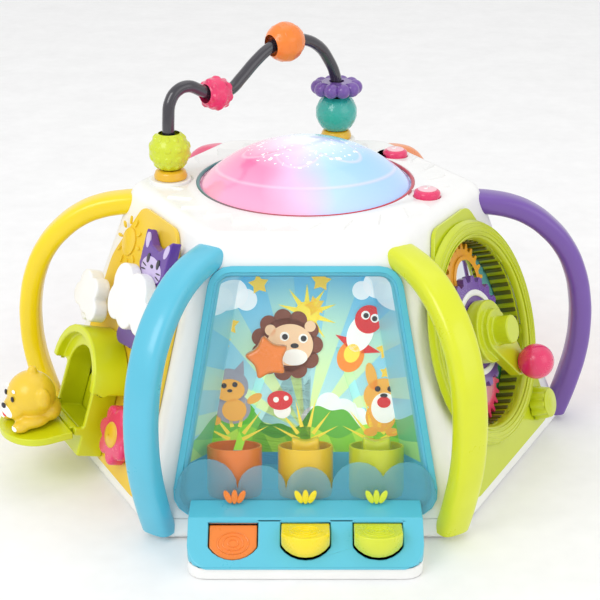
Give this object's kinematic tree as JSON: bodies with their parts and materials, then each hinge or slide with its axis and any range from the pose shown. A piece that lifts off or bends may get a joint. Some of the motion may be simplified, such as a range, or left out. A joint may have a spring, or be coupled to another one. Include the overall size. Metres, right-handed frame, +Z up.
{
  "type": "baby activity cube",
  "caption": "Six-sided domed baby activity centre with grab handles, bead wire, jumping-star keys, gear crank, dog house and spinning panels.",
  "frame": {"origin": "on the floor, on the flat underside of the base, under the middle of the light dome", "axes": "+Z up, -Y out of the front side with the star window and key tray, +X towards the corner with the right handle"},
  "size_m": [0.4085, 0.3852, 0.2769],
  "materials": {
    "white_shell": "satin moulded ABS",
    "blue_shell": "satin moulded ABS",
    "lime_shell": "satin moulded ABS",
    "amber_shell": "satin moulded ABS",
    "yellow_shell": "satin moulded ABS",
    "orange_shell": "satin moulded ABS",
    "pink_shell": "satin moulded ABS",
    "purple_shell": "satin moulded ABS",
    "teal_shell": "satin moulded ABS",
    "wire_coat": "glossy coated tube",
    "clear_cover": "clear moulded window",
    "dome_cover": "milky translucent cover",
    "tinted_cover": "tinted translucent cover",
    "circuit": "printed circuit board",
    "black_part": "moulded",
    "steel_pin": "drawn rod"
  },
  "bodies": {
    "casing": {"upper_shell": "white_shell", "base_shell": "white_shell", "battery_door": "white_shell", "battery_box": "black_part", "circuit_board": "circuit", "speaker": "black_part", "light_board": "circuit", "bead_wire": "wire_coat", "wire_collar_left": "amber_shell", "wire_collar_rear": "amber_shell", "handle_right": "purple_shell", "handle_rear_right": "orange_shell", "handle_rear_left": "pink_shell", "handle_left": "yellow_shell", "handle_front_left": "blue_shell", "handle_front_right": "lime_shell", "stage_back": "blue_shell", "stage_window": "clear_cover", "pond_cover": "tinted_cover", "cup_orange": "orange_shell", "cup_yellow": "yellow_shell", "cup_lime": "lime_shell", "tray_cover": "blue_shell", "key_axle": "steel_pin", "house_panel": "amber_shell", "cloud_cover": "white_shell", "house": "lime_shell", "gear_panel": "lime_shell", "gear_backplate": "teal_shell", "right_rear_panel": "orange_shell", "rear_panel": "blue_shell", "left_rear_panel": "purple_shell"},
    "dome_cap": {"dome": "dome_cover"},
    "front_button": {"melody_button_front": "pink_shell"},
    "rear_button": {"melody_button_rear": "pink_shell"},
    "lime_bead": {"bead_lime": "lime_shell"},
    "pink_bead": {"bead_pink": "pink_shell"},
    "orange_bead": {"bead_orange": "orange_shell"},
    "teal_bead": {"bead_teal": "teal_shell"},
    "flower_bead": {"bead_flower": "purple_shell"},
    "orange_key": {"key_orange": "orange_shell"},
    "yellow_key": {"key_yellow": "yellow_shell"},
    "lime_key": {"key_lime": "lime_shell"},
    "orange_star": {"star_orange": "orange_shell"},
    "yellow_star": {"star_yellow": "yellow_shell"},
    "lime_star": {"star_lime": "lime_shell"},
    "cat": {"cat_lever": "purple_shell"},
    "chimney": {"chimney_button": "white_shell"},
    "dog_tray": {"door_tray": "lime_shell", "puppy": "amber_shell"},
    "flower": {"flower_knob": "pink_shell"},
    "crank_train": {"crank": "lime_shell", "gear_centre": "purple_shell"},
    "mirror_gear": {"gear_mirror": "amber_shell"},
    "rattle_gear": {"gear_rattle": "pink_shell"},
    "crank_grip": {"crank_knob": "pink_shell"},
    "click_dial": {"ridge_dial": "lime_shell"},
    "rear_dial": {"turn_dial": "yellow_shell"},
    "rear_slider": {"slide_knob": "orange_shell"},
    "drum": {"spin_drum": "yellow_shell"}
  },
  "joints": [
    {"name": "dome_press", "type": "slide", "parent": "casing", "child": "dome_cap", "axis": [0, 0, -1], "range_m": [0, 0.003], "stiffness_N_per_m": 900},
    {"name": "front_button_press", "type": "slide", "parent": "casing", "child": "front_button", "axis": [0, 0, -1], "range_m": [0, 0.002], "stiffness_N_per_m": 500},
    {"name": "rear_button_press", "type": "slide", "parent": "casing", "child": "rear_button", "axis": [0, 0, -1], "range_m": [0, 0.002], "stiffness_N_per_m": 500},
    {"name": "lime_bead_slide", "type": "slide", "parent": "casing", "child": "lime_bead", "axis": [0, 0, 1], "range_m": [0, 0.008]},
    {"name": "pink_bead_spin", "type": "hinge", "parent": "casing", "child": "pink_bead", "pos_m": [-0.0615, 0.026, 0.2356], "axis": [0.7289, 0.6713, -0.1343], "continuous": true},
    {"name": "orange_bead_spin", "type": "hinge", "parent": "casing", "child": "orange_bead", "pos_m": [-0.0145, 0.067, 0.262], "axis": [0.7863, 0.6116, 0.0874], "continuous": true},
    {"name": "teal_bead_spin", "type": "hinge", "parent": "casing", "child": "teal_bead", "pos_m": [0.023, 0.097, 0.2029], "axis": [0, 0, 1], "continuous": true},
    {"name": "flower_bead_spin", "type": "hinge", "parent": "casing", "child": "flower_bead", "pos_m": [0.023, 0.097, 0.2218], "axis": [0, 0, 1], "continuous": true},
    {"name": "orange_key_press", "type": "hinge", "parent": "casing", "child": "orange_key", "pos_m": [-0.0435, -0.1815, 0.0254], "axis": [1, 0, 0], "range_deg": [-46, 0]},
    {"name": "yellow_key_press", "type": "hinge", "parent": "casing", "child": "yellow_key", "pos_m": [0, -0.1815, 0.0254], "axis": [1, 0, 0], "range_deg": [0, 46], "stiffness_Nm_per_rad": 0.01, "springref_deg": -11.46},
    {"name": "lime_key_press", "type": "hinge", "parent": "casing", "child": "lime_key", "pos_m": [0.0435, -0.1815, 0.0254], "axis": [1, 0, 0], "range_deg": [0, 46], "stiffness_Nm_per_rad": 0.01, "springref_deg": -11.46},
    {"name": "orange_star_jump", "type": "slide", "parent": "casing", "child": "orange_star", "axis": [0.3048, 0.3034, 0.9028], "range_m": [-0.0695, 0]},
    {"name": "yellow_star_jump", "type": "slide", "parent": "casing", "child": "yellow_star", "axis": [0, 0.3185, 0.9479], "range_m": [0, 0.0662]},
    {"name": "lime_star_jump", "type": "slide", "parent": "casing", "child": "lime_star", "axis": [-0.3048, 0.3034, 0.9028], "range_m": [0, 0.0695]},
    {"name": "cat_peek", "type": "hinge", "parent": "casing", "child": "cat", "pos_m": [-0.09945, -0.08859, 0.1204], "axis": [-0.8209, -0.474, 0.3185], "range_deg": [-9, 9]},
    {"name": "chimney_press", "type": "slide", "parent": "casing", "child": "chimney", "axis": [0.8209, 0.474, -0.3185], "range_m": [0, 0.004], "stiffness_N_per_m": 400},
    {"name": "dog_tray_fold", "type": "hinge", "parent": "casing", "child": "dog_tray", "pos_m": [-0.16297, -0.07446, 0.03893], "axis": [-0.5, 0.866, 0], "range_deg": [0, 106]},
    {"name": "flower_turn", "type": "hinge", "parent": "casing", "child": "flower", "pos_m": [-0.12071, -0.1078, 0.04331], "axis": [-0.8209, -0.474, 0.3185], "continuous": true},
    {"name": "crank_turn", "type": "hinge", "parent": "casing", "child": "crank_train", "pos_m": [0.12065, -0.06966, 0.10018], "axis": [0.8209, -0.474, 0.3185], "continuous": true},
    {"name": "mirror_gear_turn", "type": "hinge", "parent": "casing", "child": "mirror_gear", "pos_m": [0.1045, -0.04681, 0.1256], "axis": [0.8209, -0.474, 0.3185], "continuous": true},
    {"name": "rattle_gear_turn", "type": "hinge", "parent": "casing", "child": "rattle_gear", "pos_m": [0.11575, -0.06959, 0.0627], "axis": [0.8209, -0.474, 0.3185], "continuous": true},
    {"name": "crank_grip_spin", "type": "hinge", "parent": "crank_train", "child": "crank_grip", "pos_m": [0.15432, -0.06551, 0.07611], "axis": [0.8209, -0.474, 0.3185], "continuous": true},
    {"name": "click_dial_turn", "type": "hinge", "parent": "casing", "child": "click_dial", "pos_m": [0.16607, -0.03814, 0.03004], "axis": [0.8209, -0.474, 0.3185], "continuous": true},
    {"name": "rear_dial_turn", "type": "hinge", "parent": "casing", "child": "rear_dial", "pos_m": [0.12369, 0.07141, 0.08976], "axis": [0.8209, 0.474, 0.3185], "continuous": true},
    {"name": "rear_slider_slide", "type": "slide", "parent": "casing", "child": "rear_slider", "axis": [0, -0.3185, 0.9479], "range_m": [-0.033, 0.033]},
    {"name": "drum_spin", "type": "hinge", "parent": "casing", "child": "drum", "pos_m": [-0.1144, 0.06605, 0.07771], "axis": [-0.5, -0.866, 0], "continuous": true}
  ],
  "couplings": [
    {"joint": "orange_star_jump", "follows": "orange_key_press", "m_per_rad": 0.08631},
    {"joint": "yellow_star_jump", "follows": "yellow_key_press", "m_per_rad": 0.08221},
    {"joint": "lime_star_jump", "follows": "lime_key_press", "m_per_rad": 0.08631},
    {"joint": "mirror_gear_turn", "follows": "crank_turn", "ratio": -0.36364},
    {"joint": "rattle_gear_turn", "follows": "crank_turn", "ratio": -0.36364}
  ]
}
